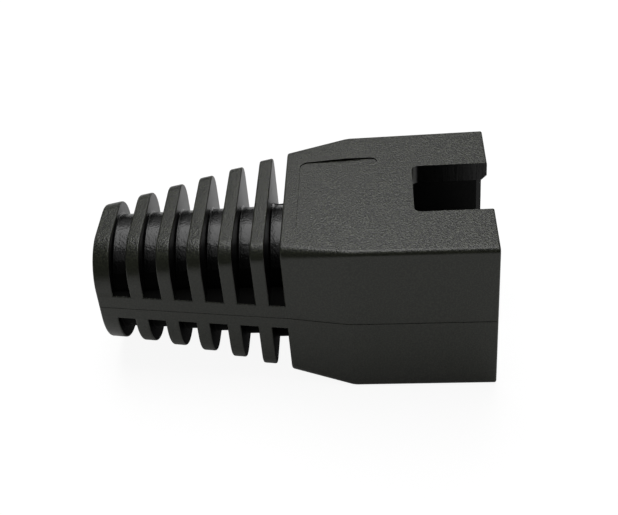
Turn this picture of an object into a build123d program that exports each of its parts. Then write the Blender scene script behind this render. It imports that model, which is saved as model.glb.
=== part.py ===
from build123d import *
import os

# Strain relief boot for an eight-position modular plug: one soft plastic moulding.
# x runs along the cable towards the plug, from the tail end at x = 0.
# z = 0 is the cable axis and the parting plane of the mould; +z is the latch side.
# All sizes are in millimetres.

# Plug body, as it looks from outside
body_length = 13.3
body_width = 13.5
body_top = 5.7
body_bottom = 5.38

# Tapered shoulder, where the body narrows towards the tail
shoulder_length = 4.1
shoulder_width = 13.15
shoulder_end_width = 11.5
shoulder_end_top = 5.43
shoulder_end_bottom = 4.75
shoulder_end_radius = 0.8
bend_length = 0.5

# Tail: a core tube with an end ring, ribs and a spine on each side
end_ring_length = 1.15
rib_count = 5
rib_thickness = 0.91
slot_width = 1.15
last_slot_width = 1.0
spine_height = 1.88
spine_centre_height = 0.1

# Skin of the tail: nearly round at its free end, square-shouldered at the body
tail_end_width = 7.9
tail_end_top = 4.0
tail_end_bottom = 4.57
tail_end_top_radius = 2.75
tail_end_bottom_radius = 3.8

# Outside of the core tube: round, but for an underside that squares up towards the body
core_end_width = 7.44
core_root_width = 7.7
core_radius = 3.6
core_root_bottom_radius = 1.1
core_stations = 6

# How late the lower corners tighten along the tail, where 1 is evenly
corner_delay = 1.6

# Cable bore, plug socket and the funnel between them
bore_diameter = 6.2
socket_width = 11.9
socket_height = 8.55
socket_depth = 9.2
socket_centre_height = 0.1
socket_corner_radius = 0.5
funnel_length = 2.6
funnel_end_width = 6.4
funnel_corner_radius = 3.0
mouth_lead_in = 0.35

# Latch notch, open at the plug end and at the top
notch_length = 4.95
notch_width = 5.15
notch_corner_radius = 0.45

# Shallow label recess with a flat floor that runs under the bend of the top face
recess_start = 0.95
recess_length = 5.15
recess_width = 7.7
recess_depth = 0.06
recess_corner_radius = 0.5

# Breaks of the edges, and the raised line that the mould leaves at its parting plane
long_edge_radius = 0.35
rim_chamfer = 0.12
rib_edge_chamfer = 0.1
parting_line_width = 0.1
parting_line_height = 0.03

# Lengths that follow from the sizes above
rib_pitch = rib_thickness + slot_width
tail_length = end_ring_length + rib_count * rib_pitch + last_slot_width
bend_x = tail_length + shoulder_length
total_length = tail_length + body_length
socket_floor_x = total_length - socket_depth
funnel_start_x = socket_floor_x - funnel_length
beyond = 1.0
base_cut = 0.004
tiny = 1e-4


def across(x):
    """Plane square to the cable at x, with its own x along +y and its own y along +z."""
    return Plane(origin=(x, 0, 0), x_dir=(0, 1, 0), z_dir=(1, 0, 0))


def blend(start, end, share):
    """Value a given share of the way from start to end."""
    return start + (end - start) * share


def section(x, width, top, bottom, top_radius, bottom_radius):
    """Section across the cable: a rectangle whose upper and lower corners are rounded apart."""
    outline = Pos(0, (top - bottom) / 2) * Rectangle(width, top + bottom)
    outline = fillet(outline.vertices().sort_by(Axis.Y)[-2:], top_radius)
    outline = fillet(outline.vertices().sort_by(Axis.Y)[:2], bottom_radius)
    return across(x) * outline


def edges_at(solid, x):
    """Edges that lie in the plane square to the cable at x."""
    return [
        edge for edge in solid.edges()
        if all(abs(edge.position_at(share).X - x) < tiny for share in (0, 0.5, 1))
    ]


def body_section(x):
    """Section of the plug body's outside at x, on the shoulder or on the stretch up to the plug."""
    if x < bend_x:
        share = (x - tail_length) / shoulder_length
        width = blend(shoulder_end_width, shoulder_width, share)
        top = blend(shoulder_end_top, body_top, share)
        bottom = blend(shoulder_end_bottom, body_bottom, share)
        radius = blend(shoulder_end_radius, long_edge_radius, share)
    else:
        width = blend(shoulder_width, body_width, (x - bend_x) / (total_length - bend_x))
        top, bottom, radius = body_top, body_bottom, long_edge_radius
    return section(x, width, top, bottom, radius, radius)


def body_block():
    """Outside of the plug body, with a short stretch that eases the bend and a planar underside to rest on."""
    places = [tail_length, bend_x - bend_length / 2, bend_x + bend_length / 2, total_length]
    block = loft([body_section(x) for x in places], ruled=True)
    block = chamfer(edges_at(block, tail_length) + edges_at(block, total_length), rim_chamfer)
    above_base = Box(3 * total_length, 2 * body_width, 4 * body_top, align=(Align.CENTER, Align.CENTER, Align.MIN))
    return block & Pos(0, 0, base_cut - body_bottom) * above_base


def tail_section(x):
    """Section of the tail's skin at x."""
    share = x / tail_length
    return section(
        x,
        blend(tail_end_width, shoulder_end_width, share),
        blend(tail_end_top, shoulder_end_top, share),
        blend(tail_end_bottom, shoulder_end_bottom, share),
        blend(tail_end_top_radius, shoulder_end_radius, share),
        blend(tail_end_bottom_radius, shoulder_end_radius, share ** corner_delay),
    )


def rib(x, thickness):
    """Solid plate of the tail's section from x on, its two rims chamfered."""
    plate = loft([tail_section(x), tail_section(x + thickness)])
    return chamfer(edges_at(plate, x) + edges_at(plate, x + thickness), rib_edge_chamfer)


def spine_section(x):
    """Section at x of the bar whose outer edges are the two spines."""
    width = blend(tail_end_width, shoulder_end_width, x / tail_length)
    outline = Rectangle(width, spine_height)
    return across(x) * Pos(0, spine_centre_height) * chamfer(outline.vertices(), rib_edge_chamfer)


def spines():
    """Bar through the tail at the height of the parting plane; the spine on each side is its outer edge."""
    return loft([spine_section(rim_chamfer), spine_section(tail_length + rim_chamfer)])


def core_section(x):
    """Section of the core tube's outside at x."""
    share = x / tail_length
    width = blend(core_end_width, core_root_width, share)
    bottom_radius = blend(core_radius, core_root_bottom_radius, share ** corner_delay)
    return section(x, width, width / 2, width / 2, core_radius, bottom_radius)


def core_tube():
    """Tube that carries the ribs, still solid inside."""
    length = tail_length + rim_chamfer
    places = [rim_chamfer + (length - rim_chamfer) * number / core_stations for number in range(core_stations + 1)]
    return loft([core_section(x) for x in places], ruled=True)


def tail():
    """End ring and ribs on the core tube, tied together by the spines."""
    parts = [core_tube(), spines(), rib(0, end_ring_length)]
    for number in range(rib_count):
        parts.append(rib(end_ring_length + slot_width + number * rib_pitch, rib_thickness))
    solid = parts[0]
    for part in parts[1:]:
        solid += part
    return solid


def parting_line():
    """Fine raised line around the outside, where the halves of the mould meet."""
    half_widths = [
        (rim_chamfer, blend(tail_end_width, shoulder_end_width, rim_chamfer / tail_length) / 2),
        (tail_length, shoulder_end_width / 2),
        (bend_x, shoulder_width / 2),
        (total_length - rim_chamfer, body_width / 2),
    ]
    edge = [(x, y + parting_line_height) for x, y in half_widths]
    outline = make_face(Polyline(*edge, *[(x, -y) for x, y in reversed(edge)], close=True))
    return extrude(outline, amount=parting_line_width / 2, both=True)


def cable_bore():
    """Round hole along the tail, up to the funnel."""
    return extrude(across(-beyond) * Circle(bore_diameter / 2), amount=funnel_start_x + 2 * beyond)


def socket_outline(growth=0.0):
    """Outline of the plug socket, grown all round."""
    outline = RectangleRounded(socket_width + 2 * growth, socket_height + 2 * growth,
                               socket_corner_radius + growth)
    return Pos(0, socket_centre_height) * outline


def plug_socket():
    """Pocket for the plug, the lead-in at its mouth and the funnel down to the cable bore."""
    pocket = extrude(across(socket_floor_x) * socket_outline(), amount=socket_depth + beyond)
    funnel = loft([
        across(funnel_start_x) * RectangleRounded(funnel_end_width, funnel_end_width, funnel_corner_radius),
        across(socket_floor_x) * Pos(0, socket_centre_height)
        * RectangleRounded(socket_width, socket_height, funnel_corner_radius),
    ])
    lead_in = loft([
        across(total_length - mouth_lead_in) * socket_outline(),
        across(total_length + beyond) * socket_outline(mouth_lead_in + beyond),
    ])
    return pocket + funnel + lead_in


def latch_notch():
    """Space for the plug's latch, through the top wall and out at the plug end."""
    length = notch_length + beyond
    outline = Pos(total_length - notch_length + length / 2, 0) * Rectangle(length, notch_width)
    outline = fillet(outline.vertices().sort_by(Axis.X)[:2], notch_corner_radius)
    return extrude(outline, amount=body_top + beyond)


def label_recess():
    """Shallow recess whose flat floor passes under the bend of the top face."""
    start = tail_length + recess_start
    end = start + recess_length
    start_top = blend(shoulder_end_top, body_top, recess_start / shoulder_length)
    outline = Pos((start + end) / 2, 0) * Rectangle(recess_length, recess_width)
    outline = fillet(outline.vertices(), recess_corner_radius)
    column = extrude(outline, amount=body_top + beyond)
    floor = Polyline(
        (start, start_top - recess_depth),
        (end, body_top - recess_depth),
        (end, body_top + 2 * beyond),
        (start, body_top + 2 * beyond),
        close=True,
    )
    return column & extrude(Plane.XZ * make_face(floor), amount=body_width, both=True)


def boot():
    """The whole moulding."""
    body = body_block() - latch_notch() - label_recess()
    solid = body + tail() + parting_line()
    return solid - cable_bore() - plug_socket()


os.makedirs("parts", exist_ok=True)
export_step(boot(), "parts/boot.step")
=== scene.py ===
"""Looks of a black strain relief boot for a modular data plug.

The boot is one soft PVC injection moulding: a plug body with a latch notch and a shallow label
recess, and a ribbed tail that lets the cable bend. The moulding is built in millimetres, in the
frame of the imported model, and turned to metres when it is finished.
"""

import logging
import math
from contextlib import contextmanager
from dataclasses import dataclass
from enum import Enum
from typing import Callable, Iterator

import bpy
from mathutils import Matrix, Vector


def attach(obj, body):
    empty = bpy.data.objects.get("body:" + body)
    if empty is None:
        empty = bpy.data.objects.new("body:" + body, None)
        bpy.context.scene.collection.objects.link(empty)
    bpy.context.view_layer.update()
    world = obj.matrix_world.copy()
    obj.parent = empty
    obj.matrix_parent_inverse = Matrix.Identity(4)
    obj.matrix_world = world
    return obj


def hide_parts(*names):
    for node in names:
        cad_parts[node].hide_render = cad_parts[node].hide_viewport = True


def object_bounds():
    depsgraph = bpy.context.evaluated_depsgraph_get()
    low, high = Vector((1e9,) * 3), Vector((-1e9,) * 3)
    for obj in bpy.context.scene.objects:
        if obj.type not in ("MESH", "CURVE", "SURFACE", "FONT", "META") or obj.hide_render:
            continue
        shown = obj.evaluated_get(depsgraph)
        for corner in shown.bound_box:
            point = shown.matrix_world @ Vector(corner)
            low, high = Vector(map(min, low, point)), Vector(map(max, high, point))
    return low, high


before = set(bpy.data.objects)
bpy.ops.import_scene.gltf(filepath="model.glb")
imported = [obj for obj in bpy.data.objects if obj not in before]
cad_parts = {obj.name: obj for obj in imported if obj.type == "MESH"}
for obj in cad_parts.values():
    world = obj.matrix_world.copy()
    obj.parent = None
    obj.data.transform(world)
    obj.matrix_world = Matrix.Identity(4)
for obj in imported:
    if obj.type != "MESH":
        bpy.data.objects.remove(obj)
cad_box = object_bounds()

# One millimetre in metres, and the photograph's size in pixels
MM = 0.001
PHOTO_WIDTH, PHOTO_HEIGHT = 618, 515

logging.basicConfig(level=logging.INFO, format="%(name)s: %(message)s")
log = logging.getLogger("boot")


# Sizes of the moulding, in millimetres

@dataclass(frozen=True)
class Section:
    """A section across the cable: a rectangle whose upper and lower corners are rounded apart."""

    width: float
    top: float
    bottom: float
    top_radius: float = 0.0
    bottom_radius: float = 0.0

    @property
    def height(self) -> float:
        """Full height of the section."""
        return self.top + self.bottom

    @property
    def centre(self) -> float:
        """Height of the section's middle over the cable axis."""
        return (self.top - self.bottom) / 2

    def blend(self, other: "Section", share: float, delay: float = 1.0) -> "Section":
        """Gives the section a given share of the way to another one.

        Args:
            other: The section at share 1.
            share: How far along, from 0 to 1 or a little past.
            delay: How late the lower corners tighten, where 1 is evenly.

        Returns:
            The section between the two.
        """
        def mix(start: float, end: float, part: float) -> float:
            """Value between start and end."""
            return start + (end - start) * part

        return Section(
            mix(self.width, other.width, share),
            mix(self.top, other.top, share),
            mix(self.bottom, other.bottom, share),
            mix(self.top_radius, other.top_radius, share),
            mix(self.bottom_radius, other.bottom_radius, share ** delay),
        )


@dataclass(frozen=True)
class BootSizes:
    """Driving sizes of the boot, with x along the cable towards the plug."""

    # Plug body
    body_length: float = 13.3
    shoulder_length: float = 4.1
    shoulder_end: Section = Section(width=11.5, top=5.43, bottom=4.75, top_radius=0.8, bottom_radius=0.8)
    bend: Section = Section(width=13.15, top=5.7, bottom=5.376, top_radius=0.35, bottom_radius=0.35)
    plug_end: Section = Section(width=13.5, top=5.7, bottom=5.376, top_radius=0.35, bottom_radius=0.35)

    # Tail
    tail_end: Section = Section(width=7.9, top=4.0, bottom=4.57, top_radius=2.75, bottom_radius=3.8)
    core_end: Section = Section(width=7.44, top=3.72, bottom=3.72, top_radius=3.6, bottom_radius=3.6)
    core_root: Section = Section(width=7.7, top=3.85, bottom=3.85, top_radius=3.6, bottom_radius=1.1)
    corner_delay: float = 1.6
    end_ring_length: float = 1.15
    rib_count: int = 5
    rib_thickness: float = 0.91
    slot_width: float = 1.15
    last_slot_width: float = 1.0
    spine_height: float = 1.88
    spine_centre_height: float = 0.1

    # Cable bore, plug socket and the funnel between them
    bore_diameter: float = 6.2
    socket_width: float = 11.9
    socket_height: float = 8.55
    socket_depth: float = 9.2
    socket_centre_height: float = 0.1
    socket_corner_radius: float = 0.5
    funnel_length: float = 2.6
    funnel_end_width: float = 6.4
    funnel_edge_round: float = 2.2
    mouth_lead_in: float = 0.35

    # Latch notch, label recess and parting line
    notch_length: float = 4.95
    notch_width: float = 5.15
    notch_corner_radius: float = 0.45
    recess_start: float = 0.95
    recess_length: float = 5.15
    recess_width: float = 7.7
    recess_depth: float = 0.06
    recess_corner_radius: float = 0.5
    parting_line_width: float = 0.1
    parting_line_height: float = 0.03

    @property
    def rib_pitch(self) -> float:
        """Distance from one rib to the next."""
        return self.rib_thickness + self.slot_width

    @property
    def tail_length(self) -> float:
        """Place where the tail meets the plug body."""
        return self.end_ring_length + self.rib_count * self.rib_pitch + self.last_slot_width

    @property
    def bend_x(self) -> float:
        """Place where the shoulder ends and the straight stretch starts."""
        return self.tail_length + self.shoulder_length

    @property
    def total_length(self) -> float:
        """Place of the plug end."""
        return self.tail_length + self.body_length

    @property
    def socket_floor_x(self) -> float:
        """Place where the plug socket ends and the funnel starts."""
        return self.total_length - self.socket_depth

    def skin(self, x: float) -> Section:
        """Section of the tail's skin at x."""
        return self.tail_end.blend(self.shoulder_end, x / self.tail_length, self.corner_delay)

    def core(self, x: float) -> Section:
        """Section of the core tube's outside at x."""
        return self.core_end.blend(self.core_root, x / self.tail_length, self.corner_delay)


# Materials

Settings = dict[str, object]


def linear(sheet_colour: str) -> tuple[float, float, float, float]:
    """Turns an sRGB hex colour to linear.

    Args:
        sheet_colour: The colour as #rrggbb.

    Returns:
        Red, green, blue and alpha, linear.
    """
    def channel(value: float) -> float:
        """One channel, turned to linear."""
        return value / 12.92 if value <= 0.04045 else ((value + 0.055) / 1.055) ** 2.4

    parts = [int(sheet_colour[i:i + 2], 16) / 255 for i in (1, 3, 5)]
    return (channel(parts[0]), channel(parts[1]), channel(parts[2]), 1.0)


def add_node(tree: bpy.types.NodeTree, kind: str, settings: Settings | None = None,
             **inputs: object) -> bpy.types.Node:
    """Adds a node with its settings, values and links.

    Args:
        tree: The node tree that gets the node.
        kind: The node's type, such as ShaderNodeTexNoise.
        settings: Properties of the node.
        inputs: Values or output sockets for its inputs, by name, with _ for a space,
            or by number, such as i0.

    Returns:
        The new node.
    """
    node = tree.nodes.new(kind)
    for name, value in (settings or {}).items():
        setattr(node, name, value)
    for name, value in inputs.items():
        numbered = name[0] == "i" and name[1:].isdigit()
        socket = node.inputs[int(name[1:]) if numbered else name.replace("_", " ")]
        if isinstance(value, bpy.types.NodeSocket):
            tree.links.new(value, socket)
        else:
            socket.default_value = value
    return node


def start_material(name: str) -> tuple[bpy.types.Material, bpy.types.NodeTree]:
    """Starts a material with an empty node tree.

    Args:
        name: Name of the material.

    Returns:
        The material and its tree.
    """
    material = bpy.data.materials.new(name)
    material.use_nodes = True
    material.node_tree.nodes.clear()
    return material, material.node_tree


@dataclass(frozen=True)
class SparkGrainedPvc:
    """Soft black PVC off a spark-eroded mould face: an even pebbled grain that glints towards the lamp.

    The pebbles' tops are greyer and glossier than the pits between them, so the eye sees a fine
    sparkle on the faces that look up, and a smoother, darker sheen on the upright ones.
    """

    name: str = "pvc_spark_grained"
    colour: str = "#020302"
    peak_colour: str = "#45483b"
    roughness: float = 0.36
    peak_roughness: float = 0.26
    ior: float = 1.5
    grain_mm: float = 0.105
    grain_height_mm: float = 0.032
    # Octaves of the noise past the first, and the weight of each beside the one before
    grain_detail: float = 1.0
    grain_fineness: float = 0.5
    # The stretch of the noise in which a pit turns into a pebble's top
    peak_start: float = 0.45
    peak_end: float = 0.6
    # The upward share of a face's normal at which the grain starts, and what is left of it below that
    upright_share: float = 0.6
    side_share: float = 0.2
    # The evenness that takes the place of the pebbles where the grain fades
    even_share: float = 0.5

    def make(self) -> bpy.types.Material:
        """Builds the material.

        Returns:
            The material, ready for a slot.
        """
        material, tree = start_material(self.name)
        coordinates = add_node(tree, "ShaderNodeTexCoord").outputs
        # A real grain of some 0.06 mm is under a pixel of the photo, so it is drawn coarser, to show
        grain = add_node(tree, "ShaderNodeTexNoise", Vector=coordinates["Object"],
                         Scale=1 / (self.grain_mm * MM), Detail=self.grain_detail,
                         Roughness=self.grain_fineness)
        peaks = add_node(tree, "ShaderNodeMapRange", Value=grain.outputs["Fac"], From_Min=self.peak_start,
                         From_Max=self.peak_end)
        # Faces that the mould slides along as it opens come out smoother than those that look its way
        facing = add_node(tree, "ShaderNodeSeparateXYZ", Vector=coordinates["Normal"])
        upward = add_node(tree, "ShaderNodeMath", {"operation": "ABSOLUTE"}, i0=facing.outputs["Z"])
        depth = add_node(tree, "ShaderNodeMapRange", Value=upward.outputs[0], From_Min=self.upright_share,
                         From_Max=1.0, To_Min=self.side_share)
        kept = add_node(tree, "ShaderNodeMix", i0=depth.outputs[0], i2=self.even_share, i3=peaks.outputs[0])
        colour = add_node(tree, "ShaderNodeMix", {"data_type": "RGBA"}, i0=kept.outputs[0],
                          i6=linear(self.colour), i7=linear(self.peak_colour))
        roughness = add_node(tree, "ShaderNodeMapRange", Value=kept.outputs[0], To_Min=self.roughness,
                             To_Max=self.peak_roughness)
        bump = add_node(tree, "ShaderNodeBump", Height=grain.outputs["Fac"], Strength=depth.outputs[0],
                        Distance=self.grain_height_mm * MM)
        shader = add_node(tree, "ShaderNodeBsdfPrincipled", Roughness=roughness.outputs[0], IOR=self.ior,
                          Base_Color=colour.outputs[2], Normal=bump.outputs["Normal"])
        add_node(tree, "ShaderNodeOutputMaterial", Surface=shader.outputs["BSDF"])
        return material


@dataclass(frozen=True)
class SmoothPvc:
    """Soft black PVC off a smoother mould face, with or without drag marks along the way the mould opens."""

    name: str
    colour: str
    roughness: float
    gloss: float
    # Depth of the drag marks, with none at 0
    mark_height_mm: float = 0.0
    ior: float = 1.5
    mark_mm: float = 0.15
    mark_length_mm: float = 2.4
    mark_detail: float = 2.0

    def make(self) -> bpy.types.Material:
        """Builds the material.

        Returns:
            The material, ready for a slot.
        """
        material, tree = start_material(self.name)
        coordinates = add_node(tree, "ShaderNodeTexCoord").outputs
        across, along = 1 / (self.mark_mm * MM), 1 / (self.mark_length_mm * MM)
        stretched = add_node(tree, "ShaderNodeMapping", Vector=coordinates["Object"],
                             Scale=(across, across, along))
        marks = add_node(tree, "ShaderNodeTexNoise", Vector=stretched.outputs[0], Scale=1.0,
                         Detail=self.mark_detail)
        bump = add_node(tree, "ShaderNodeBump", Height=marks.outputs["Fac"], Strength=1.0,
                        Distance=self.mark_height_mm * MM)
        shader = add_node(tree, "ShaderNodeBsdfPrincipled", Roughness=self.roughness, IOR=self.ior,
                          Specular_IOR_Level=self.gloss, Base_Color=linear(self.colour),
                          Normal=bump.outputs["Normal"])
        add_node(tree, "ShaderNodeOutputMaterial", Surface=shader.outputs["BSDF"])
        return material


@dataclass(frozen=True)
class Finishes:
    """The faces of the mould as they come out on the plastic, and a near-black finish of painted shade."""

    skin: bpy.types.Material
    core: bpy.types.Material
    side: bpy.types.Material
    dull: bpy.types.Material
    socket: bpy.types.Material

    @classmethod
    def make(cls) -> "Finishes":
        """Builds the materials.

        Returns:
            The finishes: grained outside, polished core, satin sides, painted shade and a matte socket.
        """
        # The blades that form the slots have polished ends, so the core shows a soft bright band
        core = SmoothPvc("pvc_polished", colour="#040404", roughness=0.22, gloss=0.42, mark_height_mm=0.02)
        # Their milled flanks leave the ribs' sides satin, with a grey sheen where these catch the lamp
        side = SmoothPvc("pvc_satin", colour="#0a0b0a", roughness=0.3, gloss=0.5, mark_height_mm=0.012)
        # Painted shade: near-black and barely glossy, for the slots' depths, undersides and recess walls
        dull = SmoothPvc("pvc_dull", colour="#060605", roughness=0.6, gloss=0.05)
        # A blasted core leaves the socket and the bore matte: dark, and a soft grey on a wall that is lit
        socket = SmoothPvc("pvc_matte", colour="#070706", roughness=0.5, gloss=0.16)
        return cls(skin=SparkGrainedPvc().make(), core=core.make(), side=side.make(), dull=dull.make(),
                   socket=socket.make())


# Modelling, as by hand

Point = tuple[float, float, float]
Test = Callable[[Vector, Vector], bool]

# Two places closer than this, in millimetres, are the same
SAME_PLACE = 1e-4

# From this share on, an edge runs along an axis and a face looks along it
RUNS, LOOKS = 0.5, 0.95


class Axis(Enum):
    """The three axes of the part, by their number in a vector."""

    X = 0
    Y = 1
    Z = 2


class Element(Enum):
    """What is picked in a mesh, with Blender's name for its select mode."""

    POINT = "VERT"
    EDGE = "EDGE"
    FACE = "FACE"


class Boolean(Enum):
    """What a boolean does with its tool, with Blender's name for it."""

    UNION = "UNION"
    DIFFERENCE = "DIFFERENCE"


def wake(piece: bpy.types.Object) -> None:
    """Selects this piece alone and makes it active.

    Args:
        piece: The piece that is worked on next.
    """
    bpy.ops.object.select_all(action="DESELECT")
    piece.select_set(True)
    bpy.context.view_layer.objects.active = piece


@contextmanager
def edit_mode() -> Iterator[None]:
    """Keeps the active piece in edit mode for the operators of a block."""
    bpy.ops.object.mode_set(mode="EDIT")
    yield
    bpy.ops.object.mode_set(mode="OBJECT")


def settle(piece: bpy.types.Object, name: str) -> bpy.types.Object:
    """Names a new primitive and moves its place and size into its mesh.

    Args:
        piece: The primitive.
        name: Name of the piece and its mesh.

    Returns:
        The piece.
    """
    piece.name = piece.data.name = name
    wake(piece)
    bpy.ops.object.transform_apply(location=True, rotation=True, scale=True)
    return piece


def add_block(name: str, low: Point, high: Point) -> bpy.types.Object:
    """Adds a cube primitive that spans a box.

    Args:
        name: Name of the new piece.
        low: Lowest corner.
        high: Highest corner.

    Returns:
        The new piece.
    """
    middle = [(a + b) / 2 for a, b in zip(low, high)]
    span = [b - a for a, b in zip(low, high)]
    bpy.ops.object.select_all(action="DESELECT")
    bpy.ops.mesh.primitive_cube_add(size=1.0, location=middle, scale=span)
    return settle(bpy.context.object, name)


def add_round_bar(name: str, start_x: float, end_x: float, diameter: float,
                  flats: int) -> bpy.types.Object:
    """Adds a round bar along x.

    Args:
        name: Name of the new piece.
        start_x: Where it starts.
        end_x: Where it ends.
        diameter: Its diameter.
        flats: Number of flats around it.

    Returns:
        The new piece.
    """
    bpy.ops.object.select_all(action="DESELECT")
    bpy.ops.mesh.primitive_cone_add(
        vertices=flats, radius1=diameter / 2, radius2=diameter / 2, depth=end_x - start_x,
        location=((start_x + end_x) / 2, 0, 0), rotation=(0, math.pi / 2, 0),
    )
    return settle(bpy.context.object, name)


def pick(piece: bpy.types.Object, element: Element, test: Test) -> None:
    """Leaves edit mode with the points, edges or faces that pass a test selected.

    Args:
        piece: The piece that is worked on.
        element: What is picked.
        test: Gets a point twice, an edge's two ends, or a face's centre and normal.
    """
    wake(piece)
    with edit_mode():
        bpy.ops.mesh.select_mode(type=element.value)
        bpy.ops.mesh.select_all(action="DESELECT")
    mesh = piece.data
    if element is Element.POINT:
        for point in mesh.vertices:
            point.select = test(point.co, point.co)
    elif element is Element.EDGE:
        for edge in mesh.edges:
            edge.select = test(*(mesh.vertices[i].co for i in edge.vertices))
    else:
        for face in mesh.polygons:
            face.select = test(face.center, face.normal)


def lies_at(x: float) -> Test:
    """Test for the points or edges that lie in the plane square to the cable at x."""
    return lambda a, b: abs(a.x - x) < SAME_PLACE and abs(b.x - x) < SAME_PLACE


def runs_along(axis: Axis) -> Test:
    """Test for the edges that run along an axis by more than half their length."""
    return lambda a, b: abs(a[axis.value] - b[axis.value]) > RUNS * (a - b).length


def looks_along(axis: Axis) -> Test:
    """Test for the faces that look either way along an axis."""
    return lambda _, normal: abs(normal[axis.value]) > LOOKS


def is_across(a: Vector, b: Vector) -> bool:
    """True for an edge that lies in a plane square to the cable."""
    return abs(a.x - b.x) < SAME_PLACE


def looks_to_plug(_: Vector, normal: Vector) -> bool:
    """True for a face that looks towards the plug."""
    return normal.x > LOOKS


def round_picked(radius: float, segments: int) -> None:
    """Bevels the picked edges of the active piece to a round of so many segments."""
    with edit_mode():
        bpy.ops.mesh.bevel(offset=radius, segments=segments, affect="EDGES", clamp_overlap=False)


def grow_picked(across: float, upward: float, centre: Point) -> None:
    """Scales what is picked of the active piece along y and along z, about a centre."""
    with edit_mode():
        bpy.ops.transform.resize(value=(1.0, across, upward), center_override=centre)


def fit_end(piece: bpy.types.Object, x: float, old: Section, new: Section) -> None:
    """Scales and shifts the end face at x from one section to another.

    Args:
        piece: A straight bar along x.
        x: Where the end face lies.
        old: Its section now.
        new: The section that it gets.
    """
    pick(piece, Element.POINT, lies_at(x))
    grow_picked(new.width / old.width, new.height / old.height, (x, 0.0, old.centre))
    with edit_mode():
        bpy.ops.transform.translate(value=(0.0, 0.0, new.centre - old.centre))


def add_tapered_bar(name: str, start_x: float, end_x: float, start: Section,
                    end: Section) -> bpy.types.Object:
    """Adds a square-edged bar along x, with its own section at each end.

    Args:
        name: Name of the new piece.
        start_x: Where it starts.
        end_x: Where it ends.
        start: Section at the start.
        end: Section at the end.

    Returns:
        The new piece.
    """
    piece = add_block(name, (start_x, -start.width / 2, -start.bottom), (end_x, start.width / 2, start.top))
    fit_end(piece, end_x, start, end)
    return piece


def add_rounded_bar(name: str, start_x: float, end_x: float, start: Section, end: Section,
                    radius: float, segments: int) -> bpy.types.Object:
    """Adds a bar along x as above, with the same round on all its long edges.

    Args:
        name: Name of the new piece.
        start_x: Where it starts.
        end_x: Where it ends.
        start: Section at the start.
        end: Section at the end.
        radius: Radius of the round.
        segments: Flats of the round.

    Returns:
        The new piece.
    """
    piece = add_tapered_bar(name, start_x, end_x, start, end)
    pick(piece, Element.EDGE, runs_along(Axis.X))
    round_picked(radius, segments)
    return piece


def extend_bar(piece: bpy.types.Object, old_x: float, new_x: float, old: Section, new: Section) -> None:
    """Extrudes the end face of a bar to a place further along, and gives it its section there.

    Args:
        piece: A bar along x.
        old_x: Where it ends now.
        new_x: Where it ends then.
        old: Its end's section now.
        new: Its end's section then.
    """
    pick(piece, Element.FACE, looks_to_plug)
    with edit_mode():
        bpy.ops.mesh.extrude_region_move(TRANSFORM_OT_translate={"value": (new_x - old_x, 0, 0)})
    fit_end(piece, new_x, old, new)


def round_corners(piece: bpy.types.Object, section: Section, segments: int) -> None:
    """Rounds the upper and the lower long edges of a bar, each pair by its own radius.

    Args:
        piece: The bar.
        section: Its section half-way, with the radii.
        segments: Flats of each round.
    """
    runs = runs_along(Axis.X)
    for upper, radius in ((True, section.top_radius), (False, section.bottom_radius)):
        pick(piece, Element.EDGE, lambda a, b: runs(a, b) and (a.z + b.z > 2 * section.centre) == upper)
        round_picked(radius, segments)


def merge(target: bpy.types.Object, tool: bpy.types.Object, operation: Boolean) -> None:
    """Applies a boolean of the tool to the target and removes the tool.

    Args:
        target: The piece that is changed.
        tool: The piece that is added or cut away.
        operation: What is done with it.
    """
    wake(target)
    modifier = target.modifiers.new(tool.name, "BOOLEAN")
    modifier.operation = operation.value
    modifier.solver = "EXACT"
    modifier.material_mode = "TRANSFER"
    modifier.object = tool
    bpy.ops.object.modifier_apply(modifier=modifier.name)
    bpy.data.objects.remove(tool, do_unlink=True)


def dress(piece: bpy.types.Object, main: bpy.types.Material, other: bpy.types.Material | None = None,
          has_other: Test | None = None) -> bpy.types.Object:
    """Gives a building block its finish, and another one on some of its faces.

    Args:
        piece: The building block.
        main: The finish of its faces.
        other: The finish of some of them.
        has_other: Gets a face's centre and normal, and says whether it has the other finish.

    Returns:
        The building block.
    """
    piece.data.materials.append(main)
    if other and has_other:
        piece.data.materials.append(other)
        for face in piece.data.polygons:
            face.material_index = int(has_other(face.center, face.normal))
    return piece


# Sub-assemblies of the moulding

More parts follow.
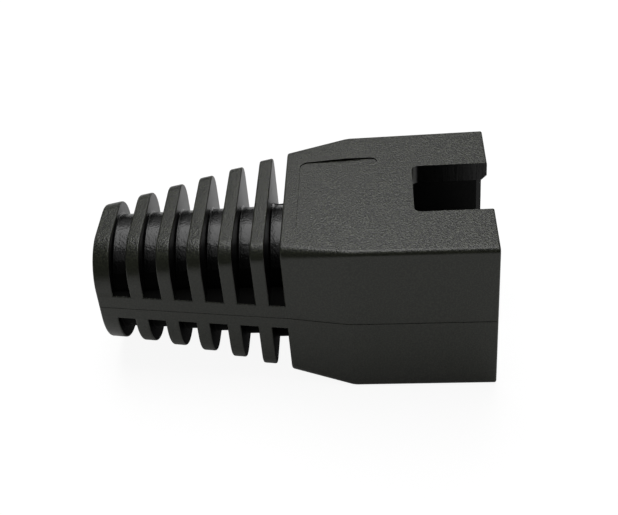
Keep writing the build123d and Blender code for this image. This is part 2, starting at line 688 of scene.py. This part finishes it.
@dataclass
class PlugBody:
    """Outside of the plug body: the tapered shoulder and the nearly straight stretch to the plug end."""

    sizes: BootSizes
    rim_round: float = 0.12
    rim_segments: int = 3
    bend_round: float = 0.25
    bend_segments: int = 6
    corner_segments: int = 8
    # Reach of a corner's round, in its own radii, with some room
    corner_reach: float = 1.5

    def build(self, skin: bpy.types.Material) -> bpy.types.Object:
        """Models the block that the sockets are cut from.

        Args:
            skin: Finish of its outside.

        Returns:
            The block.
        """
        s = self.sizes
        block = add_tapered_bar("plug_body", s.tail_length, s.bend_x, s.shoulder_end, s.bend)
        extend_bar(block, s.bend_x, s.total_length, s.bend, s.plug_end)
        pick(block, Element.EDGE, runs_along(Axis.X))
        round_picked(s.bend.top_radius, self.corner_segments)
        self.soften_start(block)
        pick(block, Element.EDGE, lies_at(s.bend_x))
        round_picked(self.bend_round, self.bend_segments)
        for x in (s.total_length, s.tail_length):
            pick(block, Element.EDGE, lies_at(x))
            round_picked(self.rim_round, self.rim_segments)
        return dress(block, skin)

    def soften_start(self, block: bpy.types.Object) -> None:
        """Widens the corner rounds where the shoulder starts, so that they taper off towards the bend.

        Args:
            block: The plug body, with even corner rounds.
        """
        s = self.sizes
        growth = s.shoulder_end.top_radius / s.bend.top_radius
        reach = self.corner_reach * s.bend.top_radius
        at_start = lies_at(s.tail_length)
        for side in (-1, 1):
            for z, up in ((s.shoulder_end.top, 1), (-s.shoulder_end.bottom, -1)):
                y = side * s.shoulder_end.width / 2

                def in_corner(point: Vector, same: Vector) -> bool:
                    """True for a point of this corner's round at the shoulder's start."""
                    near_corner = side * (y - point.y) < reach and up * (z - point.z) < reach
                    return near_corner and at_start(point, same)

                pick(block, Element.POINT, in_corner)
                grow_picked(growth, growth, (s.tail_length, y, z))


@dataclass
class RibbedTail:
    """The tail: a core tube, still solid inside, with an end ring, ribs and a spine on each side."""

    sizes: BootSizes
    edge_round: float = 0.12
    edge_segments: int = 3
    plate_segments: int = 14
    core_segments: int = 16
    # How far a stretch of core runs on inside the plates beside it
    core_overlap: float = 0.3
    root_round: float = 0.13
    root_steps: int = 5
    # Height over the cable axis above which the core is polished, and below which it gets painted shade
    painted_shade_level: float = 2.2
    # How far the spines stand out from the plates, so that no two faces lie in one plane
    spine_stand: float = 0.01

    def plate(self, name: str, x: float, thickness: float) -> bpy.types.Object:
        """Models the end ring or a rib, with round corners and rims.

        Args:
            name: Name of the plate.
            x: Where its tail side lies.
            thickness: Its size along the cable.

        Returns:
            The plate.
        """
        s = self.sizes
        plate = add_tapered_bar(name, x, x + thickness, s.skin(x), s.skin(x + thickness))
        round_corners(plate, s.skin(x + thickness / 2), self.plate_segments)
        pick(plate, Element.EDGE, is_across)
        round_picked(self.edge_round, self.edge_segments)
        return plate

    def spines(self) -> bpy.types.Object:
        """Models the bar whose outer edges are the two spines.

        Returns:
            The bar.
        """
        s = self.sizes
        top = s.spine_height / 2 + s.spine_centre_height
        start_x, end_x = self.edge_round, s.tail_length + self.edge_round
        ends = []
        for x in (start_x, end_x):
            ends.append(Section(s.skin(x).width + 2 * self.spine_stand, top, s.spine_height - top))
        return add_rounded_bar("spines", start_x, end_x, *ends, self.edge_round, self.edge_segments)

    def core_bar(self, number: int) -> bpy.types.Object:
        """Models the stretch of core that shows in one slot, with its ends inside the plates beside it.

        Args:
            number: Which slot, counted from the tail end at 0.

        Returns:
            The stretch.
        """
        s = self.sizes
        width = s.slot_width if number < s.rib_count else s.last_slot_width
        start = s.end_ring_length + number * s.rib_pitch
        low, high = start - self.core_overlap, start + width + self.core_overlap
        bar = add_tapered_bar(f"core_{number + 1}", low, high, s.core(low), s.core(high))
        round_corners(bar, s.core((low + high) / 2), self.core_segments)
        self.flare(bar, start, start + width)
        return bar

    def flare(self, bar: bpy.types.Object, start: float, end: float) -> None:
        """Gives a stretch of core its root rounds, which widen it where it meets the plates.

        Args:
            bar: The stretch of core.
            start: Where the slot starts.
            end: Where the slot ends.
        """
        radius = self.root_round
        loops = []
        for step in range(self.root_steps + 1):
            turn = math.radians(90 * step / self.root_steps)
            inset, growth = radius * (1 - math.sin(turn)), radius * (1 - math.cos(turn))
            loops += [(start + inset, growth), (end - inset, growth)]
        wake(bar)
        for x, _ in loops:
            with edit_mode():
                bpy.ops.mesh.select_all(action="SELECT")
                bpy.ops.mesh.bisect(plane_co=(x, 0, 0), plane_no=(1, 0, 0))
        loops += [(start - self.core_overlap, radius), (end + self.core_overlap, radius)]
        for x, growth in loops:
            grown = 1 + 2 * growth / self.sizes.core(x).width
            pick(bar, Element.POINT, lies_at(x))
            grow_picked(grown, grown, (x, 0, 0))

    def build(self, finishes: Finishes) -> list[bpy.types.Object]:
        """Models the solids of the tail.

        Args:
            finishes: The materials of the outside, the core and the sides of the slots.

        Returns:
            The solids, which run into each other.
        """
        s = self.sizes
        solids = []
        # Painted shade: the core's lower part and the spines' upper and lower flats get the near-black
        # finish
        for number in range(s.rib_count + 1):
            solids.append(dress(self.core_bar(number), finishes.core, finishes.dull,
                                lambda centre, _: centre.z < self.painted_shade_level))
        solids.append(dress(self.spines(), finishes.skin, finishes.dull, looks_along(Axis.Z)))
        plates = [self.plate("end_ring", 0.0, s.end_ring_length)]
        for number in range(s.rib_count):
            x = s.end_ring_length + s.slot_width + number * s.rib_pitch
            plates.append(self.plate(f"rib_{number + 1}", x, s.rib_thickness))
        for plate in plates:
            solids.append(dress(plate, finishes.skin, finishes.side, looks_along(Axis.X)))
        return solids


@dataclass
class Hollows:
    """What is cut out of the moulding: the bore, the plug socket, the latch notch and the label recess."""

    sizes: BootSizes
    # How far the cutters reach past what they cut
    beyond: float = 1.0
    # How far the funnel and the lead-in stay inside the socket where they start in it
    funnel_inset: float = 0.01
    lead_in_inset: float = 0.05
    # Height over the cable axis at which the notch's cutter starts, inside the socket
    notch_foot: float = 1.0
    bore_flats: int = 96
    funnel_segments: int = 12
    socket_segments: int = 6
    corner_segments: int = 8

    def bore(self) -> bpy.types.Object:
        """Round hole along the tail, up to the funnel."""
        end_x = self.sizes.socket_floor_x - self.sizes.funnel_length / 2
        return add_round_bar("bore", -self.beyond, end_x, self.sizes.bore_diameter, self.bore_flats)

    def socket_section(self, growth: float = 0.0) -> Section:
        """Gives the section of the plug socket, grown all round.

        Args:
            growth: By how much, or less than 0 for a smaller one.

        Returns:
            The section.
        """
        s = self.sizes
        half, centre = s.socket_height / 2 + growth, s.socket_centre_height
        return Section(s.socket_width + 2 * growth, half + centre, half - centre)

    def funnel(self) -> bpy.types.Object:
        """Models the way from the plug socket down to the bore.

        Returns:
            The cutter.
        """
        s = self.sizes
        half = s.funnel_end_width / 2
        narrow, wide = Section(s.funnel_end_width, half, half), self.socket_section(-self.funnel_inset)
        return add_rounded_bar("funnel", s.socket_floor_x - s.funnel_length, s.socket_floor_x, narrow, wide,
                               s.funnel_edge_round, self.funnel_segments)

    def pocket(self) -> bpy.types.Object:
        """Models the room for the rear of the plug.

        Returns:
            The cutter.
        """
        s = self.sizes
        section = self.socket_section()
        return add_rounded_bar("pocket", s.socket_floor_x, s.total_length + self.beyond, section, section,
                               s.socket_corner_radius, self.socket_segments)

    def lead_in(self) -> bpy.types.Object:
        """Models the chamfer at the mouth of the socket.

        Returns:
            The cutter.
        """
        s = self.sizes
        inner = self.socket_section(-self.lead_in_inset)
        outer = self.socket_section(s.mouth_lead_in + self.beyond)
        start_x = s.total_length - s.mouth_lead_in - self.lead_in_inset
        return add_rounded_bar("lead_in", start_x, s.total_length + self.beyond, inner, outer,
                               s.socket_corner_radius, self.socket_segments)

    def notch(self) -> bpy.types.Object:
        """Models the space for the plug's latch, through the top wall and out at the plug end.

        Returns:
            The cutter.
        """
        s = self.sizes
        half = s.notch_width / 2
        start_x = s.total_length - s.notch_length
        cutter = add_block("notch", (start_x, -half, self.notch_foot),
                           (s.total_length + self.beyond, half, s.bend.top + self.beyond))
        runs, at_start = runs_along(Axis.Z), lies_at(start_x)
        pick(cutter, Element.EDGE, lambda a, b: runs(a, b) and at_start(a, b))
        round_picked(s.notch_corner_radius, self.corner_segments)
        return cutter

    def recess(self) -> bpy.types.Object:
        """Models the shallow label recess, whose flat floor passes under the bend of the top face.

        Returns:
            The cutter.
        """
        s = self.sizes
        start_x = s.tail_length + s.recess_start
        top = s.shoulder_end.blend(s.bend, s.recess_start / s.shoulder_length).top
        half = s.recess_width / 2
        cutter = add_block("recess", (start_x, -half, s.bend.top - s.recess_depth),
                           (start_x + s.recess_length, half, s.bend.top + self.beyond))
        at_start = lies_at(start_x)
        pick(cutter, Element.POINT, lambda point, same: at_start(point, same) and point.z < s.bend.top)
        with edit_mode():
            bpy.ops.transform.translate(value=(0, 0, top - s.bend.top))
        pick(cutter, Element.EDGE, runs_along(Axis.Z))
        round_picked(s.recess_corner_radius, self.corner_segments)
        return cutter

    def build(self, finishes: Finishes) -> list[bpy.types.Object]:
        """Models the cutters.

        Args:
            finishes: The materials that the cut faces get.

        Returns:
            The cutters, in the order of the cuts.
        """
        inside = [self.bore(), self.funnel(), self.pocket(), self.lead_in()]
        return [dress(cutter, finishes.socket) for cutter in inside] + [
            dress(self.notch(), finishes.skin, finishes.side, looks_along(Axis.Y)),
            # Painted shade: the recess's walls get the near-black finish, and its floor the skin
            dress(self.recess(), finishes.dull, finishes.skin, looks_along(Axis.Z)),
        ]


@dataclass
class PartingLine:
    """Fine raised line around the outside, where the halves of the mould meet."""

    sizes: BootSizes
    # How far it stays from both ends, where the rims are rounded
    end_inset: float = 0.12

    def build(self, skin: bpy.types.Material) -> bpy.types.Object:
        """Models a thin plate whose outer edge is the line.

        Args:
            skin: Finish of the line.

        Returns:
            The plate.
        """
        s = self.sizes

        def edge_section(outside: Section) -> Section:
            """Section of the plate where the outside has that section."""
            half = s.parting_line_width / 2
            return Section(outside.width + 2 * s.parting_line_height, half, half)

        outsides = (s.skin(self.end_inset), s.shoulder_end, s.bend, s.plug_end)
        tail_end, tail_root, bend, plug_end = (edge_section(outside) for outside in outsides)
        plate = add_tapered_bar("parting_line", self.end_inset, s.tail_length, tail_end, tail_root)
        extend_bar(plate, s.tail_length, s.bend_x, tail_root, bend)
        extend_bar(plate, s.bend_x, s.total_length - self.end_inset, bend, plug_end)
        return dress(plate, skin)


@dataclass
class Moulding:
    """The whole boot as one piece."""

    sizes: BootSizes
    name: str = "boot_moulding"
    smooth_degrees: float = 32.0
    # Satin faces nearer to the tail end than this are the end ring's own end face
    end_face_reach: float = 0.5

    def build(self, finishes: Finishes) -> bpy.types.Object:
        """Joins the solids, cuts the hollows and finishes the piece.

        Args:
            finishes: The materials of its faces.

        Returns:
            The piece, in metres, at the origin.
        """
        boot = PlugBody(self.sizes).build(finishes.skin)
        for solid in RibbedTail(self.sizes).build(finishes):
            merge(boot, solid, Boolean.UNION)
        merge(boot, PartingLine(self.sizes).build(finishes.skin), Boolean.UNION)
        self.dull_depths(boot, finishes)
        for cutter in Hollows(self.sizes).build(finishes):
            merge(boot, cutter, Boolean.DIFFERENCE)
        self.finish(boot)
        return boot

    def dull_depths(self, boot: bpy.types.Object, finishes: Finishes) -> None:
        """Gives the end ring's satin end face the skin's grain, and the satin faces below z = 0 painted
        shade.

        Args:
            boot: The joined solids.
            finishes: The materials of its faces.
        """
        slots = {material: number for number, material in enumerate(boot.data.materials)}
        for face in boot.data.polygons:
            if face.material_index == slots[finishes.side]:
                if face.center.x < self.end_face_reach:
                    face.material_index = slots[finishes.skin]
                elif face.center.z < 0:
                    face.material_index = slots[finishes.dull]

    def finish(self, boot: bpy.types.Object) -> None:
        """Smooths the faces, turns millimetres to metres and leaves the object at the origin.

        Args:
            boot: The finished solid.
        """
        boot.name = boot.data.name = self.name
        wake(boot)
        bpy.ops.object.shade_smooth_by_angle(angle=math.radians(self.smooth_degrees))
        modifier = boot.modifiers.new("even_normals", "WEIGHTED_NORMAL")
        modifier.keep_sharp = True
        bpy.ops.object.modifier_apply(modifier=modifier.name)
        boot.scale = (MM, MM, MM)
        bpy.ops.object.transform_apply(location=True, rotation=True, scale=True)


# Studio

@dataclass
class PhotoCamera:
    """Camera of the photograph, as found from the boot's outline in it.

    It looks from an azimuth, elevation and roll in degrees. The aim, in millimetres, lies
    aim_depth in front of it and shows at aim_pixel. The clips are in metres.
    """

    azimuth: float = 5.200
    elevation: float = 37.732
    roll: float = -5.414
    focal_pixels: float = 1128.8
    aim: Point = (13.011, 0.0, 0.0)
    aim_depth: float = 76.33
    aim_pixel: tuple[float, float] = (298.79, 262.78)
    sensor_mm: float = 36.0
    near_clip: float = 0.001
    far_clip: float = 10.0

    def build(self) -> bpy.types.Object:
        """Sets the camera up for the photograph's frame.

        Returns:
            The camera.
        """
        a, e, r = (math.radians(v) for v in (self.azimuth, self.elevation, self.roll))
        forward = Vector((-math.sin(a) * math.cos(e), math.cos(a) * math.cos(e), -math.sin(e)))
        level_right = Vector((math.cos(a), math.sin(a), 0))
        level_up = level_right.cross(forward)
        right = math.cos(r) * level_right + math.sin(r) * level_up
        up = math.cos(r) * level_up - math.sin(r) * level_right
        scale = self.aim_depth / self.focal_pixels
        across = (self.aim_pixel[0] - PHOTO_WIDTH / 2) * scale
        down = (self.aim_pixel[1] - PHOTO_HEIGHT / 2) * scale
        place = Vector(self.aim) - right * across + up * down - forward * self.aim_depth
        data = bpy.data.cameras.new("photo_camera")
        data.sensor_width = self.sensor_mm
        data.lens = self.focal_pixels / PHOTO_WIDTH * self.sensor_mm
        data.clip_start = self.near_clip
        data.clip_end = self.far_clip
        camera = bpy.data.objects.new("photo_camera", data)
        bpy.context.scene.collection.objects.link(camera)
        camera.matrix_world = Matrix((
            (right.x, up.x, -forward.x, place.x * MM),
            (right.y, up.y, -forward.y, place.y * MM),
            (right.z, up.z, -forward.z, place.z * MM),
            (0, 0, 0, 1),
        ))
        bpy.context.scene.camera = camera
        return camera


@dataclass(frozen=True)
class SoftBox:
    """A rectangular soft lamp that points at the boot; its angles are in degrees and its lengths in mm."""

    name: str
    azimuth: float
    elevation: float
    distance: float
    width: float
    height: float
    radiance: float

    def build(self, target: Vector) -> bpy.types.Object:
        """Hangs the lamp.

        Args:
            target: Where it points, in metres.

        Returns:
            The lamp.
        """
        data = bpy.data.lights.new(self.name, "AREA")
        data.shape = "RECTANGLE"
        data.size, data.size_y = self.width * MM, self.height * MM
        # An even flat lamp gives off pi times its radiance for each square metre
        data.energy = self.radiance * math.pi * data.size * data.size_y
        lamp = bpy.data.objects.new(self.name, data)
        bpy.context.scene.collection.objects.link(lamp)
        a, e = math.radians(self.azimuth), math.radians(self.elevation)
        way = Vector((math.sin(a) * math.cos(e), math.cos(a) * math.cos(e), math.sin(e)))
        lamp.location = target + way * self.distance * MM
        lamp.rotation_euler = (-way).to_track_quat("-Z", "Y").to_euler()
        return lamp


@dataclass
class Studio:
    """White floor and dim room under one large soft box, over and behind the boot, and two faint cards."""

    floor_level: float
    floor_size: float = 2.0
    floor_colour: str = "#f2f2f2"
    white: str = "#ffffff"
    room_strength: float = 0.02
    # Shares of white that the eye and gloss see of the floor, and how bright that white is
    floor_eye_share: float = 0.8
    floor_mirror_share: float = 0.125
    floor_white_strength: float = 1.15
    # The same shares of the room
    room_eye_share: float = 1.0
    room_mirror_share: float = 0.02
    lamps: tuple[SoftBox, ...] = (
        SoftBox("top_box", azimuth=-6, elevation=69, distance=320, width=210, height=330, radiance=3.2),
        SoftBox("front_card", azimuth=180, elevation=68, distance=380, width=300, height=130, radiance=0.4),
        SoftBox("back_card", azimuth=0, elevation=34, distance=420, width=520, height=260, radiance=0.3),
    )

    def seen_share(self, tree: bpy.types.NodeTree, eye_share: float,
                   mirror_share: float) -> bpy.types.NodeSocket:
        """Share of white background: large to the eye, small in gloss and glass, and none for light.

        Args:
            tree: The node tree that gets the nodes.
            eye_share: The share that the eye sees.
            mirror_share: The share that gloss and glass show.

        Returns:
            The share's socket.
        """
        ray = add_node(tree, "ShaderNodeLightPath").outputs
        mirror = add_node(tree, "ShaderNodeMath", {"operation": "MAXIMUM"}, i0=ray["Is Glossy Ray"],
                          i1=ray["Is Transmission Ray"])
        faint = add_node(tree, "ShaderNodeMath", {"operation": "MULTIPLY"}, i0=mirror.outputs[0],
                         i1=mirror_share)
        share = add_node(tree, "ShaderNodeMath", {"operation": "MULTIPLY_ADD"}, i0=ray["Is Camera Ray"],
                         i1=eye_share, i2=faint.outputs[0])
        return share.outputs[0]

    def floor(self) -> None:
        """Lays the floor: white to the eye, with a faint shadow, and an ordinary pale floor for light."""
        bpy.ops.object.select_all(action="DESELECT")
        bpy.ops.mesh.primitive_plane_add(size=self.floor_size, location=(0, 0, self.floor_level))
        floor = bpy.context.object
        floor.name = "floor"
        material, tree = start_material("white_floor")
        paint = add_node(tree, "ShaderNodeBsdfDiffuse", Color=linear(self.floor_colour))
        glow = add_node(tree, "ShaderNodeEmission", Color=linear(self.white),
                        Strength=self.floor_white_strength)
        share = self.seen_share(tree, self.floor_eye_share, self.floor_mirror_share)
        both = add_node(tree, "ShaderNodeMixShader", i0=share, i1=paint.outputs[0], i2=glow.outputs[0])
        add_node(tree, "ShaderNodeOutputMaterial", Surface=both.outputs[0])
        floor.data.materials.append(material)

    def room(self) -> None:
        """Makes the surroundings dim, and white to the eye."""
        world = bpy.data.worlds.new("grey_room")
        bpy.context.scene.world = world
        world.use_nodes = True
        tree = world.node_tree
        tree.nodes.clear()
        dim = add_node(tree, "ShaderNodeBackground", Color=linear(self.white), Strength=self.room_strength)
        white = add_node(tree, "ShaderNodeBackground", Color=linear(self.white), Strength=1.0)
        share = self.seen_share(tree, self.room_eye_share, self.room_mirror_share)
        both = add_node(tree, "ShaderNodeMixShader", i0=share, i1=dim.outputs[0], i2=white.outputs[0])
        add_node(tree, "ShaderNodeOutputWorld", Surface=both.outputs[0])

    def build(self, target: Vector) -> None:
        """Sets up the floor, the surroundings and the lamps.

        Args:
            target: Where the lamps point, in metres.
        """
        self.floor()
        self.room()
        for lamp in self.lamps:
            log.info("lamp %s", lamp.build(target).name)
        bpy.context.scene.view_settings.view_transform = "Standard"


def write_sizes() -> None:
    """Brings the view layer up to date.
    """
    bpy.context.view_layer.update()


def main() -> None:
    """Builds the moulding, dresses it and sets up the studio."""
    boot = Moulding(BootSizes()).build(Finishes.make())
    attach(boot, "root")
    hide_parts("boot")
    log.info("%s: %d faces", boot.name, len(boot.data.polygons))
    low, high = cad_box
    Studio(floor_level=low.z).build((low + high) / 2)
    log.info("camera %s", PhotoCamera().build().name)
    write_sizes()


if __name__ == "__main__":
    main()
